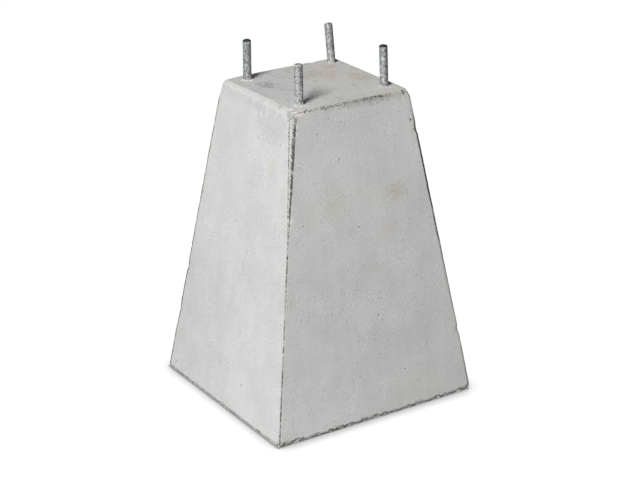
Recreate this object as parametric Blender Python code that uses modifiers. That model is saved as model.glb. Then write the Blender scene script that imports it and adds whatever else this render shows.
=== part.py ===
"""Column base block: a tapered block of cast concrete with four threaded rods set in its top.

Metres, +Z up. The origin is at the middle of the block's underside.
"""
import math

import bmesh
import bpy
from mathutils import Vector

# Block
TOP_SIDE = 0.200
BASE_LENGTH_X = 0.334
BASE_LENGTH_Y = 0.348
BLOCK_HEIGHT = 0.480
GROUND_EDGE_CHAMFER = 0.004
UPRIGHT_EDGE_ROUND = 0.0015
TOP_EDGE_ROUND = 0.0015
TROWELLED_EDGE_ROUND = 0.009
TROWELLED_EDGE_SEGMENTS = 4

# Damage to the block: a flat spalled off the arris at +X -Y, and a corner gone at +X +Y
SPALL_WIDTH = 0.008
SPALL_LENGTH = 0.130
LOST_CORNER_ALONG_X = 0.011
LOST_CORNER_ALONG_Y = 0.008
LOST_CORNER_DEPTH = 0.012

# Threaded rods
ROD_DIAMETER = 0.012
ROD_LENGTH = 0.200
THREAD_PITCH = 0.00175
THREAD_DEPTH = 0.0010
THREAD_SIDES = 12
THREAD_RUNOUT = 0.0005
TIP_CHAMFER = 0.0013
THREAD_BELOW_TOP = 0.004

# Nominal rod pattern on the top face, and where its middle lies
ROD_SPACING = 0.150
PATTERN_MIDDLE_X = -0.005
PATTERN_MIDDLE_Y = 0.006

# Each rod: its corner of the pattern, how far it strays from there along X and Y, how far it
# leans along X and Y for each metre of height, and the length of it that stands out
RODS = {
    "threaded_rod_left": dict(
        corner=(-1, -1), stray=(0.0035, -0.0005), lean=(0.005, 0.008), stand_out=0.0620),
    "threaded_rod_front": dict(
        corner=(1, -1), stray=(0.0010, -0.0025), lean=(-0.004, -0.006), stand_out=0.0600),
    "threaded_rod_back": dict(
        corner=(-1, 1), stray=(-0.0010, 0.0020), lean=(-0.041, -0.064), stand_out=0.0625),
    "threaded_rod_right": dict(
        corner=(1, 1), stray=(-0.0055, -0.0010), lean=(-0.012, -0.019), stand_out=0.0625),
}

# Collar of cement paste around the foot of each rod
COLLAR_TOP_WALL = 0.0012
COLLAR_SPREAD = 0.0015
COLLAR_HEIGHT = 0.0018
COLLAR_OVERLAP = 0.003

# The hole that the block leaves around each rod
ROD_CLEARANCE = 0.0003
HOLE_SIDES = 24

CONCRETE_COLOUR = (0.52, 0.52, 0.51, 1.0)
ZINC_COLOUR = (0.50, 0.53, 0.52, 1.0)
SHARP_ANGLE = math.radians(35)


def clear_scene():
    for obj in list(bpy.data.objects):
        bpy.data.objects.remove(obj, do_unlink=True)


def new_collection(name):
    collection = bpy.data.collections.new(name)
    bpy.context.scene.collection.children.link(collection)
    return collection


def new_material(name, colour, roughness, metallic):
    material = bpy.data.materials.new(name)
    material.use_nodes = True
    shader = material.node_tree.nodes["Principled BSDF"]
    shader.inputs["Base Color"].default_value = colour
    shader.inputs["Roughness"].default_value = roughness
    shader.inputs["Metallic"].default_value = metallic
    return material


def edges_where(bm, test):
    """The edges both of whose ends pass the test."""
    return [edge for edge in bm.edges if all(test(vert.co) for vert in edge.verts)]


def upright_edges(bm):
    return [edge for edge in bm.edges
            if abs(edge.verts[0].co.z - edge.verts[1].co.z) > BLOCK_HEIGHT / 2]


def round_edges(bm, edges, width, segments):
    bmesh.ops.bevel(bm, geom=edges, offset=width, offset_type="OFFSET", segments=segments,
                    profile=0.5, affect="EDGES")


def break_off(bm, points, outward):
    """Cut the block along the plane through three points and close the break."""
    first, second, third = points
    normal = (second - first).cross(third - first).normalized()
    if normal.dot(outward) < 0:
        normal.negate()
    geometry = bm.verts[:] + bm.edges[:] + bm.faces[:]
    cut = bmesh.ops.bisect_plane(bm, geom=geometry, plane_co=first, plane_no=normal, clear_outer=True)
    rim = [item for item in cut["geom_cut"] if isinstance(item, bmesh.types.BMEdge)]
    bmesh.ops.holes_fill(bm, edges=rim, sides=0)


def top_corner(side_x, side_y):
    return Vector((side_x * TOP_SIDE / 2, side_y * TOP_SIDE / 2, BLOCK_HEIGHT))


def base_corner(side_x, side_y):
    return Vector((side_x * BASE_LENGTH_X / 2, side_y * BASE_LENGTH_Y / 2, 0.0))


def spall_front_arris(bm):
    """A flat broken off the arris at +X -Y, widest at the top and running out below."""
    top = top_corner(1, -1)
    down = (base_corner(1, -1) - top).normalized()
    reach = SPALL_WIDTH / math.sqrt(2)
    points = (top + Vector((-reach, 0, 0)), top + Vector((0, reach, 0)), top + down * SPALL_LENGTH)
    break_off(bm, points, Vector((1, -1, 0)))


def lose_right_corner(bm):
    """The top corner at +X +Y, broken off flat."""
    top = top_corner(1, 1)
    down = (base_corner(1, 1) - top).normalized()
    points = (top + Vector((-LOST_CORNER_ALONG_X, 0, 0)), top + Vector((0, -LOST_CORNER_ALONG_Y, 0)),
              top + down * LOST_CORNER_DEPTH)
    break_off(bm, points, Vector((1, 1, 1)))


def block_mesh():
    """The tapered block, with its edges rounded and its damage cut away."""
    bm = bmesh.new()
    bmesh.ops.create_cube(bm, size=2.0)
    for vert in bm.verts:
        corner = top_corner if vert.co.z > 0 else base_corner
        vert.co = corner(vert.co.x, vert.co.y)
    tiny = BLOCK_HEIGHT / 10000
    round_edges(bm, edges_where(bm, lambda co: co.z < tiny), GROUND_EDGE_CHAMFER, 1)
    round_edges(bm, upright_edges(bm), UPRIGHT_EDGE_ROUND, 1)
    trowelled = edges_where(bm, lambda co: co.z > BLOCK_HEIGHT - tiny and co.y < tiny - TOP_SIDE / 2)
    round_edges(bm, trowelled, TROWELLED_EDGE_ROUND, TROWELLED_EDGE_SEGMENTS)
    top_face = max(bm.faces, key=lambda face: face.calc_center_median().z)
    sharp = [edge for edge in top_face.edges if max(vert.co.y for vert in edge.verts) > -TOP_SIDE / 4]
    round_edges(bm, sharp, TOP_EDGE_ROUND, 1)
    spall_front_arris(bm)
    lose_right_corner(bm)
    bmesh.ops.recalc_face_normals(bm, faces=bm.faces)
    mesh = bpy.data.meshes.new("concrete_block")
    bm.to_mesh(mesh)
    bm.free()
    return mesh


def threaded_length():
    """Whole turns of thread, enough for the rod that stands out furthest."""
    longest = max(rod["stand_out"] for rod in RODS.values()) + THREAD_BELOW_TOP
    return math.ceil(longest / THREAD_PITCH) * THREAD_PITCH


def thread_surface():
    """An open tube whose wall is the thread, made by screwing one V-shaped turn up the rod."""
    crest = ROD_DIAMETER / 2
    root = crest - THREAD_DEPTH
    turns = threaded_length() / THREAD_PITCH + 3
    profile = bpy.data.meshes.new("thread_profile")
    half_step = THREAD_PITCH / THREAD_SIDES / 2
    start = ROD_LENGTH + THREAD_PITCH - turns * THREAD_PITCH + half_step
    points = [(root, 0, start + THREAD_PITCH), (crest, 0, start + THREAD_PITCH / 2), (root, 0, start)]
    profile.from_pydata(points, [(0, 1), (1, 2)], [])
    guide = bpy.data.objects.new("thread_profile", profile)
    bpy.context.scene.collection.objects.link(guide)
    screw = guide.modifiers.new("thread", "SCREW")
    screw.axis = "Z"
    screw.screw_offset = THREAD_PITCH
    screw.iterations = round(turns)
    screw.steps = THREAD_SIDES
    screw.render_steps = THREAD_SIDES
    screw.use_merge_vertices = False
    screw.merge_threshold = 0.00001
    surface = bpy.data.meshes.new_from_object(guide.evaluated_get(bpy.context.evaluated_depsgraph_get()))
    bpy.data.objects.remove(guide, do_unlink=True)
    bm = bmesh.new()
    bm.from_mesh(surface)
    bpy.data.meshes.remove(surface)
    bmesh.ops.remove_doubles(bm, verts=bm.verts, dist=0.00001)
    return bm


def trim(bm, height, keep_below):
    """Cut the open tube square at a height and return the edges of the cut."""
    geometry = bm.verts[:] + bm.edges[:] + bm.faces[:]
    normal = Vector((0, 0, 1 if keep_below else -1))
    cut = bmesh.ops.bisect_plane(bm, geom=geometry, plane_co=(0, 0, height), plane_no=normal, clear_outer=True)
    return [item for item in cut["geom_cut"] if isinstance(item, bmesh.types.BMEdge)]


def continue_down(bm, rim, height):
    """Extrude an open rim down to a height, onto the rod's outer diameter, and return the new rim."""
    grown = bmesh.ops.extrude_edge_only(bm, edges=rim)["geom"]
    for vert in [item for item in grown if isinstance(item, bmesh.types.BMVert)]:
        outward = Vector((vert.co.x, vert.co.y, 0)).normalized()
        vert.co = outward * (ROD_DIAMETER / 2) + Vector((0, 0, height))
    return [item for item in grown if isinstance(item, bmesh.types.BMEdge)
            and all(abs(vert.co.z - height) < THREAD_RUNOUT / 10 for vert in item.verts)]


def chamfer_tip(bm):
    """Draw the last of the thread in to a cone, as a cut rod is dressed."""
    end_radius = ROD_DIAMETER / 2 - TIP_CHAMFER
    for vert in bm.verts:
        allowed = end_radius + (ROD_LENGTH - vert.co.z)
        radius = math.hypot(vert.co.x, vert.co.y)
        if radius > allowed:
            vert.co.x *= allowed / radius
            vert.co.y *= allowed / radius


def rod_mesh():
    """One threaded rod along +Z from its lower end at the origin.

    The thread is real over the length that shows. Below that, where it is set in the concrete,
    the rod is plain.
    """
    bm = thread_surface()
    thread_foot = ROD_LENGTH - threaded_length()
    tip_rim = trim(bm, ROD_LENGTH, True)
    foot_rim = trim(bm, thread_foot, False)
    shank_rim = continue_down(bm, foot_rim, thread_foot - THREAD_RUNOUT)
    end_rim = continue_down(bm, shank_rim, 0.0)
    chamfer_tip(bm)
    bmesh.ops.holes_fill(bm, edges=tip_rim, sides=0)
    bmesh.ops.holes_fill(bm, edges=end_rim, sides=0)
    bmesh.ops.recalc_face_normals(bm, faces=bm.faces)
    mesh = bpy.data.meshes.new("threaded_rod")
    bm.to_mesh(mesh)
    bm.free()
    return mesh


def rod_foot(rod):
    """Where the rod's axis passes through the block's top."""
    return Vector((PATTERN_MIDDLE_X + rod["corner"][0] * ROD_SPACING / 2 + rod["stray"][0],
                   PATTERN_MIDDLE_Y + rod["corner"][1] * ROD_SPACING / 2 + rod["stray"][1],
                   BLOCK_HEIGHT))


def rod_direction(rod):
    return Vector((rod["lean"][0], rod["lean"][1], 1.0)).normalized()


def stand_along(obj, rod, distance):
    """Put an object's origin at a distance up the rod's axis from its foot, with its Z along the axis."""
    direction = rod_direction(rod)
    obj.location = rod_foot(rod) + direction * distance
    obj.rotation_euler = Vector((0, 0, 1)).rotation_difference(direction).to_euler()


def cutter(obj, collection):
    for owner in list(obj.users_collection):
        owner.objects.unlink(obj)
    collection.objects.link(obj)
    obj.hide_render = True
    obj.display_type = "WIRE"


def add_collar(rod, collection):
    """A low cone of paste around the rod's foot, sunk a little into the block."""
    top_radius = ROD_DIAMETER / 2 + ROD_CLEARANCE + COLLAR_TOP_WALL
    slope = COLLAR_SPREAD / COLLAR_HEIGHT
    sunk_radius = top_radius + slope * (COLLAR_HEIGHT + COLLAR_OVERLAP)
    depth = COLLAR_HEIGHT + COLLAR_OVERLAP
    bpy.ops.mesh.primitive_cone_add(vertices=HOLE_SIDES, radius1=sunk_radius, radius2=top_radius, depth=depth)
    collar = bpy.context.active_object
    collar.location = rod_foot(rod) + Vector((0, 0, COLLAR_HEIGHT - depth / 2))
    cutter(collar, collection)


def add_hole(rod, collection):
    """The space that a rod takes up in the block, with its clearance all round and below."""
    radius = (ROD_DIAMETER / 2 + ROD_CLEARANCE) / math.cos(math.pi / HOLE_SIDES)
    above = 4 * COLLAR_HEIGHT
    below = ROD_LENGTH - rod["stand_out"] + ROD_CLEARANCE
    bpy.ops.mesh.primitive_cylinder_add(vertices=HOLE_SIDES, radius=radius, depth=above + below)
    hole = bpy.context.active_object
    stand_along(hole, rod, (above - below) / 2)
    cutter(hole, collection)


def add_boolean(obj, name, operation, collection):
    modifier = obj.modifiers.new(name, "BOOLEAN")
    modifier.operation = operation
    modifier.operand_type = "COLLECTION"
    modifier.collection = collection
    modifier.solver = "EXACT"


def add_block(parts, collars, holes, concrete):
    block = bpy.data.objects.new("concrete_block", block_mesh())
    block.data.materials.append(concrete)
    parts.objects.link(block)
    add_boolean(block, "collars", "UNION", collars)
    add_boolean(block, "rod_holes", "DIFFERENCE", holes)


def add_rods(parts, zinc):
    mesh = rod_mesh()
    mesh.shade_smooth()
    mesh.set_sharp_from_angle(angle=SHARP_ANGLE)
    mesh.materials.append(zinc)
    for name, rod in RODS.items():
        obj = bpy.data.objects.new(name, mesh)
        stand_along(obj, rod, rod["stand_out"] - ROD_LENGTH)
        parts.objects.link(obj)


def main():
    clear_scene()
    parts = new_collection("column_base_block")
    collars = new_collection("collar_shapes")
    holes = new_collection("rod_hole_cutters")
    concrete = new_material("concrete", CONCRETE_COLOUR, 0.9, 0.0)
    zinc = new_material("galvanised_steel", ZINC_COLOUR, 0.5, 1.0)
    for rod in RODS.values():
        add_collar(rod, collars)
        add_hole(rod, holes)
    add_block(parts, collars, holes, concrete)
    add_rods(parts, zinc)


main()
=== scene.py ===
"""Looks of the column base block: the weathered concrete casting, its four galvanised threaded
rods and the cement splashed on them. Metres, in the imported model's own frame."""

import itertools
import math

import bmesh
import bpy
import numpy as np
from mathutils import Matrix, Vector


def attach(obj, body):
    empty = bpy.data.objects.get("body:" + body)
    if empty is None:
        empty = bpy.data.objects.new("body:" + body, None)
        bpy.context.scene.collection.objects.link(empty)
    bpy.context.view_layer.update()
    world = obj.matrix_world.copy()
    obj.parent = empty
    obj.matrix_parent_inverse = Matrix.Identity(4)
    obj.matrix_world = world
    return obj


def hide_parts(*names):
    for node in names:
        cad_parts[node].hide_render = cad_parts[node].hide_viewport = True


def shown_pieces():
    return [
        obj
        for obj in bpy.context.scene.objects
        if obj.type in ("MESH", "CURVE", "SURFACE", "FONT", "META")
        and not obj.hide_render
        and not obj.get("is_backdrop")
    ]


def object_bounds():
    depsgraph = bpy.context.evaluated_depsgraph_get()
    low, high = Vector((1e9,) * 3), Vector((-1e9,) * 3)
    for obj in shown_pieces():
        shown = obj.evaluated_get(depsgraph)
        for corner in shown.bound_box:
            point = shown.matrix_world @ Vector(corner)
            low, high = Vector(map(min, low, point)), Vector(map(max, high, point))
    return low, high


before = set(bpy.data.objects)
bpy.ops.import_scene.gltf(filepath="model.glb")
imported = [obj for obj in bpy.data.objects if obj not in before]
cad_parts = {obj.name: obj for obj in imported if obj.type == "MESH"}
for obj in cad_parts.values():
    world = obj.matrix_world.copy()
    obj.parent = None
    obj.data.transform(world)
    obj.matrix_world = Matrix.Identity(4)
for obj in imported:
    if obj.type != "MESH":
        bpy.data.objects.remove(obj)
CAD_LOW, CAD_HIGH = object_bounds()

ROD_NAMES = ("left", "front", "back", "right")
WALLS = dict(left=(0, -1, 0), right=(1, 0, 0), back_left=(-1, 0, 0), back_right=(0, 1, 0),
             top=(0, 0, 1), foot=(0, 0, -1))
WALL_ORDER = {name: number for number, name in enumerate(WALLS)}
FRONT_ARRIS = ("left", "right")
RANDOM_SEED = 7

# The camera, found from the block's corners in the photograph
PHOTO_WIDTH_PX = 640
FOCAL_LENGTH_PX = 1825.8
CAMERA_AZIMUTH = math.radians(57.391)
CAMERA_ELEVATION = math.radians(21.953)
CAMERA_ROLL = math.radians(-0.569)
CAMERA_DISTANCE = 2.7832
CAMERA_SIDESTEP = 0.00589
CAMERA_AIM_HEIGHT = 0.23204
SENSOR_WIDTH_MM = 36.0

# Mesh of the casting
WALL_ROWS = 95
WALL_COLUMNS = 44
EDGE_ZONES = (0.011, 0.008)
PIT_ZONES = (0.0065, 0.005, 0.004)
COLLAR_ZONES = (0.016, 0.013)
RAY_REACH = 0.022
FARTHEST_OUT = 0.004
SOLVE_STEPS = 22
ON_PLANE = 1e-5
SHARP_ANGLE = math.radians(50)

# What time has done to each edge between two walls: how much of it is gone everywhere, how much
# more where it has broken, the size of the breaks and how common they are, how dark and how wide
# the painted shade line along the rim of the broken strip is. That line is painted shade of the
# broken edge, and along the foot it is painted contact shadow. Slant says how flat the strip lies,
# one being midway between the walls, first_rim how dark the painted shade line on the first wall is
# beside the other, band how many times the strip's depth the painted shade runs on past its line
# below the second wall, crumbly how far the line is broken into specks and fresh how rough and dark
# the strip is.
WEAR = dict(loss=0.0004, breaks=0.0004, size=0.010, common=0.5, dark=0.6, line=0.0010, slant=1.0,
            first_rim=1.0, band=0.0, crumbly=0.2, fresh=1.0)
EDGES = {pair: WEAR | changes for pair, changes in {
    ("left", "right"): dict(loss=0.0007, breaks=0.0002, dark=1.15, slant=0.64, first_rim=0.55,
                            band=1.2, crumbly=0.5, fresh=0.25),
    ("left", "back_left"): dict(loss=0.0005, breaks=0.0010, common=0.45, dark=1.2, line=0.0026),
    ("right", "back_right"): dict(breaks=0.0005, common=0.6, dark=1.1, line=0.0030),
    ("back_left", "back_right"): dict(loss=0.0007, breaks=0.0022, size=0.020, dark=0.8,
                                      line=0.0011),
    ("left", "top"): dict(loss=0.0, breaks=0.0, dark=0.0),
    ("right", "top"): dict(breaks=0.0016, size=0.0035, common=0.7, dark=0.62, line=0.0026,
                           crumbly=0.9, fresh=0.7),
    ("back_left", "top"): dict(loss=0.0003, breaks=0.0003, size=0.008, common=0.4, line=0.0009),
    ("back_right", "top"): dict(breaks=0.0001, size=0.008, line=0.0009),
    ("left", "foot"): dict(loss=0.0005, breaks=0.0003, size=0.012, common=0.6, dark=0.75,
                           line=0.0005, slant=0.22, crumbly=0.4, fresh=0.7),
    ("right", "foot"): dict(loss=0.0010, breaks=0.0020, size=0.0045, common=0.8, dark=0.75,
                            line=0.0012, slant=0.40, crumbly=0.8, fresh=0.6),
    ("back_left", "foot"): dict(loss=0.0020, breaks=0.0015, common=0.6, slant=0.5, fresh=0.5),
    ("back_right", "foot"): dict(loss=0.0020, breaks=0.0015, common=0.6, slant=0.5, fresh=0.5),
}.items()}
# Places where the painted shade lines at the rims are darker or fainter
RIM_CHANGES = [dict(zip(("at", "reach", "factor"), row)) for row in (
    ((0.1290, 0.1340, 0.3620), 0.085, 2.3),
    ((0.1060, 0.1060, 0.4560), 0.026, 0.3),
    ((0.1500, 0.1560, 0.1200), 0.110, 0.45),
    ((0.1000, 0.0860, 0.4800), 0.020, 0.25),
    ((0.0975, -0.0985, 0.4790), 0.012, 0.10),
    ((0.1100, -0.1130, 0.4150), 0.060, 1.30),
    ((0.1350, -0.1400, 0.2300), 0.110, 0.72),
    ((-0.1480, -0.1540, 0.1350), 0.080, 1.80),
)]
NO_RIM_NEAR = 50.0
DARKEST_RIM = 1.8
EDGE_SOFTNESS = 0.0006
TROWELLED_ROUND = 0.009
TROWELLED_REACH = 0.022

# Damage that the photograph shows
SPALL_DEPTH = 0.0052
SPALL_LENGTH = 0.200
SPALL_FLARE = 0.85
SPALL_START = 0.012
SPALL_ROUGHNESS = 0.0005
LOST_CORNER = (0.011, 0.008, 0.012)
LOST_CORNER_ROUGHNESS = 0.0007
BITES = [dict(zip(("at", "radius", "depth"), row)) for row in (
    ((0.0965, -0.1020, 0.4745), 0.0080, 0.0030),
    ((0.0990, -0.0960, 0.4790), 0.0050, 0.0010),
    ((0.1020, -0.0995, 0.4600), 0.0045, 0.0016),
    ((0.1040, -0.1015, 0.4500), 0.0040, 0.0014),
    ((0.1090, 0.1090, 0.4200), 0.0080, 0.0007),
    ((0.1075, 0.1015, 0.4480), 0.0042, 0.0013),
    ((0.1092, 0.1035, 0.4400), 0.0036, 0.0013),
    ((0.1078, 0.0985, 0.4395), 0.0028, 0.0010),
    ((0.1655, 0.1725, 0.0020), 0.0070, 0.0012),
)]
RANDOM_BITES = 40
RANDOM_BITE_RADII = (0.003, 0.008)
RANDOM_BITE_SLOPES = (0.06, 0.16)

# Blow holes and pits that the photograph shows
PITS = [dict(zip(("at", "radius"), row)) for row in (
    ((0.1258, -0.0057, 0.2953), 0.0013),
    ((0.1111, -0.0294, 0.4002), 0.0012),
    ((0.1041, 0.0799, 0.4508), 0.0009),
    ((0.1052, -0.0616, 0.4425), 0.0010),
    ((-0.1477, -0.1717, 0.0149), 0.0014),
    ((0.0298, -0.1089, 0.4226), 0.0011),
    ((0.0359, -0.1409, 0.2148), 0.0011),
    ((-0.0212, -0.1642, 0.0635), 0.0012),
    ((0.0462, -0.1664, 0.0496), 0.0011),
    ((0.0992, 0.0900, 0.4792), 0.0034),
    ((0.1004, 0.0908, 0.4768), 0.0030),
    ((0.1062, 0.1008, 0.4352), 0.0016),
    ((0.0990, -0.0995, 0.4720), 0.0016),
)]
# Fine cracks beside the upper end of the long break
CRACKS = (
    ((0.0829, -0.1007, 0.4756), (0.0872, -0.1011, 0.4726), 0.0026),
    ((0.0872, -0.1011, 0.4726), (0.0927, -0.1016, 0.4693), 0.0022),
)
RANDOM_PITS_PER_WALL = 9
RANDOM_PIT_RADII = (0.0006, 0.0013)
RANDOM_PIT_MARGIN = 0.012
PIT_SLOPE = 1.3
FULL_HOLE_DEPTH = 0.0008

# The uneven surface that the mould and the trowel left
WAVE_DEPTH = 0.00022
GRAIN_DEPTH = 0.00007

# Paste collars at the rods' feet
COLLAR_HEIGHTS = {"left": 0.0011, "front": 0.0009, "back": 0.0002, "right": 0.0004}
COLLAR_INNER = 0.0062
COLLAR_OUTER = 0.0100
COLLAR_STRAY = 0.0028
FULL_PASTE_HEIGHT = 0.0009

# Threaded rods. Cut says how much shorter than its solid a rod is, dome how high its tip bulges,
# dull how much darker its zinc is, dark_rim how dirty its tip is, clogging how full its thread is
# and splashes how many blobs of cement it carries.
THREAD_PITCH = 0.00175
THREAD_DEPTH = 0.00085
THREAD_ROWS_PER_TURN = 12
ROD_AROUND = 36
FOOT_ROWS = 4
TIP_CHAMFER = 0.0013
ROD_FINISH = {
    "left": dict(cut=0.0, dome=0.0012, dull=0.11, dark_rim=1.0,
                 clogging=0.45, splashes=26, seed=3),
    "front": dict(cut=0.0, dome=0.0004, dull=0.0, dark_rim=0.45,
                  clogging=0.80, splashes=120, seed=11),
    "back": dict(cut=0.0, dome=0.0014, dull=0.05, dark_rim=0.30,
                 clogging=0.60, splashes=30, seed=23),
    "right": dict(cut=0.0011, dome=0.0, dull=0.0, dark_rim=1.0,
                  clogging=0.40, splashes=26, seed=31),
}
ZINC_BUILD_UP = 0.0003
SEAM_GAP = 0.00001
SPLASH_RADIUS = 0.0009
SPLASHES_PER_AREA = 430.0
SPLASH_SCALES = dict(Min=0.35, Max=1.0)
SPLASH_LENGTH = 1.5
SPLASH_HEIGHT = 0.45

# Light
KEY = dict(azimuth=math.radians(-59), elevation=math.radians(39.5), distance=6.0,
           size=(2.0, 1.15), power=465.0)
FILL = dict(azimuth=math.radians(-45), elevation=math.radians(6), distance=4.0,
            size=(1.2, 1.2), power=57.0)
BACK_FILL = dict(azimuth=math.radians(135), elevation=0.0, distance=4.0,
                 size=(0.5, 0.4), power=100.0)
SKY_AT_HORIZON = 0.03
SKY_OVERHEAD = 0.11
FLOOR_GLOW = 0.93
FLOOR_HALF_WIDTH = 40.0
CONTACT_SHADOW_REACH = 0.038
CONTACT_SHADOW = 0.61
CONTACT_FALL = 1.5
# A painted shade strip on the floor along the left wall's foot, darker than the contact shadow
# alone: its ends and width
FOOT_SHADE_STRIP = ((-0.1670, -0.1738, 0.0), (0.1665, -0.1738, 0.0), 0.0080)
FOOT_SHADE_DARK = 0.50
FLOOR_WHITE = (0.8, 0.8, 0.8)


def lattice(cells, seed):
    """A fixed number from 0 to 1 for every cell of a grid, scrambled from its place and a seed."""
    x, y, z = cells.astype(np.int64).T
    mixed = (x * 374761393 + y * 668265263 + z * 1274126177 + seed * 974634777) & 0xFFFFFFFF
    mixed = ((mixed ^ (mixed >> 13)) * 1103515245) & 0xFFFFFFFF
    mixed = ((mixed ^ (mixed >> 15)) * 2246822519) & 0xFFFFFFFF
    return ((mixed ^ (mixed >> 16)) & 0xFFFFFF) / 0xFFFFFF


def noise(points, size, seed):
    """Smooth noise from -1 to 1 whose lumps are about as wide as size."""
    cells = np.floor(points / size)
    share = points / size - cells
    share = share * share * (3 - 2 * share)
    total = np.zeros(len(points))
    for corner in itertools.product((0, 1), repeat=3):
        weight = np.prod(np.where(np.array(corner) == 1, share, 1 - share), axis=1)
        total += weight * lattice(cells + np.array(corner), seed)
    return 2 * total - 1


def rough(points, size, seed, octaves=3):
    """Noise with finer, weaker noise added."""
    return sum(noise(points, size / 2**k, seed + 17 * k) / 2**k for k in range(octaves))


def smoothstep(low, high, values):
    share = np.clip((values - low) / (high - low), 0, 1)
    return share * share * (3 - 2 * share)


def wall_planes():
    """Normal and offset of each main wall, read off the largest face of the CAD block that way."""
    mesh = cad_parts["concrete_block"].data
    planes = {}
    for name, direction in WALLS.items():
        facing = [face for face in mesh.polygons if face.normal.dot(Vector(direction)) > 0.95]
        largest = max(facing, key=lambda face: face.area)
        planes[name] = (np.array(largest.normal), largest.normal.dot(largest.center))
    return planes


def meeting_point(planes, names):
    """The corner where three walls would meet if none of it were worn."""
    normals = np.array([planes[name][0] for name in names])
    offsets = np.array([planes[name][1] for name in names])
    return np.linalg.solve(normals, offsets)


def block_corners(planes):
    """The corners of the unworn block, by the side of its middle that each is on."""
    corners = {}
    for x, y, z in itertools.product((-1, 1), repeat=3):
        names = ("right" if x > 0 else "back_left", "back_right" if y > 0 else "left",
                 "top" if z > 0 else "foot")
        corners[(x, y, z)] = meeting_point(planes, names)
    return corners


def wall_distances(points, planes):
    """How far each point is outside each wall, one column for each wall, negative inside."""
    return np.stack([points @ planes[name][0] - planes[name][1] for name in WALLS], axis=1)


def rod_axis(name):
    """A CAD rod's radius, the ends of its axis and the way that it points."""
    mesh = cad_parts["threaded_rod_" + name].data
    points = np.array([vert.co for vert in mesh.vertices])
    middle = points.mean(axis=0)
    direction = np.linalg.svd(points - middle, full_matrices=False)[2][0]
    direction = direction * np.sign(direction[2])
    along = (points - middle) @ direction
    across = points - middle - np.outer(along, direction)
    centre = middle + (across.max(axis=0) + across.min(axis=0)) / 2
    radius = np.linalg.norm(points - centre - np.outer(along, direction), axis=1).max()
    low, high = centre + direction * along.min(), centre + direction * along.max()
    return dict(radius=radius, low=low, high=high, direction=direction)


def rod_foot(rod, top_height):
    """Where a rod's axis passes through the block's top."""
    climb = (top_height - rod["low"][2]) / rod["direction"][2]
    return rod["low"] + rod["direction"] * climb


def refine(bm, near, zones):
    """Split the faces near something once for each zone, each zone smaller than the last."""
    for zone in zones:
        centres = np.array([face.calc_center_median() for face in bm.faces])
        bm.faces.ensure_lookup_table()
        chosen = np.flatnonzero(near(centres, zone))
        edges = {edge for index in chosen for edge in bm.faces[index].edges}
        bmesh.ops.subdivide_edges(bm, edges=list(edges), cuts=1, use_grid_fill=True)


def sharp_block(planes, pits, feet):
    """The block with unworn walls, as a fine mesh that is finest where the surface changes most."""
    corners = block_corners(planes)
    bm = bmesh.new()
    bmesh.ops.create_cube(bm, size=2.0)
    upright = [edge for edge in bm.edges if abs(edge.verts[0].co.z - edge.verts[1].co.z) > 1]
    bmesh.ops.subdivide_edges(bm, edges=upright, cuts=WALL_ROWS, use_grid_fill=True)
    level = [edge for edge in bm.edges if abs(edge.verts[0].co.z - edge.verts[1].co.z) < ON_PLANE]
    bmesh.ops.subdivide_edges(bm, edges=level, cuts=WALL_COLUMNS, use_grid_fill=True)
    for vert in bm.verts:
        place = np.zeros(3)
        for signs, corner in corners.items():
            shares = [(1 + sign * value) / 2 for sign, value in zip(signs, vert.co)]
            place += corner * np.prod(shares)
        vert.co = place

    def near_edge(centres, zone):
        return np.sort(wall_distances(centres, planes), axis=1)[:, -2] > -zone

    def near_any(places):
        def test(centres, zone):
            gaps = [np.linalg.norm(centres - place, axis=1) for place in places]
            return np.min(gaps, axis=0) < zone
        return test

    refine(bm, near_edge, EDGE_ZONES)
    refine(bm, near_any([pit["at"] for pit in pits]), PIT_ZONES)
    refine(bm, near_any(feet), COLLAR_ZONES)
    return bm


def random_bites(planes, rng):
    """Small scallops knocked out of the edges, at places chosen by the seed, but none along the
    top edges of the left and back right walls."""
    corners = block_corners(planes)
    ends = [(a, b) for a, b in itertools.combinations(corners, 2) if sum(np.array(a) != b) == 1]
    bites = []
    for _ in range(RANDOM_BITES):
        a, b = ends[rng.integers(len(ends))]
        if a[2] + b[2] == 2 and abs(a[1] + b[1]) == 2:
            continue
        share = rng.uniform(0.02, 0.98)
        radius = rng.uniform(*RANDOM_BITE_RADII)
        at = corners[a] * share + corners[b] * (1 - share)
        bites.append(dict(at=at, radius=radius, depth=radius * rng.uniform(*RANDOM_BITE_SLOPES)))
    return bites


def random_pits(planes, rng):
    """Blow holes on the four upright walls, at places chosen by the seed."""
    corners = block_corners(planes)
    pits = []
    for name in ("left", "right", "back_left", "back_right"):
        normal, offset = planes[name]
        around = [corner for corner in corners.values() if abs(corner @ normal - offset) < ON_PLANE]
        low, high = np.min(around, axis=0), np.max(around, axis=0)
        while sum(pit["wall"] == name for pit in pits) < RANDOM_PITS_PER_WALL:
            at = rng.uniform(low, high)
            at = at - normal * (at @ normal - offset)
            if np.sort(wall_distances(at[None], planes)[0])[-2] < -RANDOM_PIT_MARGIN:
                pits.append(dict(at=at, radius=rng.uniform(*RANDOM_PIT_RADII), wall=name))
    return pits


def pit_depth(points, pits):
    depth = np.zeros(len(points))
    for pit in pits:
        gap = np.linalg.norm(points - pit["at"], axis=1) / pit["radius"]
        hollow = np.sqrt(np.clip(1 - gap * gap, 0, 1))
        depth = np.maximum(depth, PIT_SLOPE * pit["radius"] * hollow)
    return depth


def bite_depth(points, bites):
    depth = np.zeros(len(points))
    for bite in bites:
        gap = np.linalg.norm(points - bite["at"], axis=1) / bite["radius"]
        depth = np.maximum(depth, bite["depth"] * np.clip(1 - gap * gap, 0, 1))
    return depth


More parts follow.
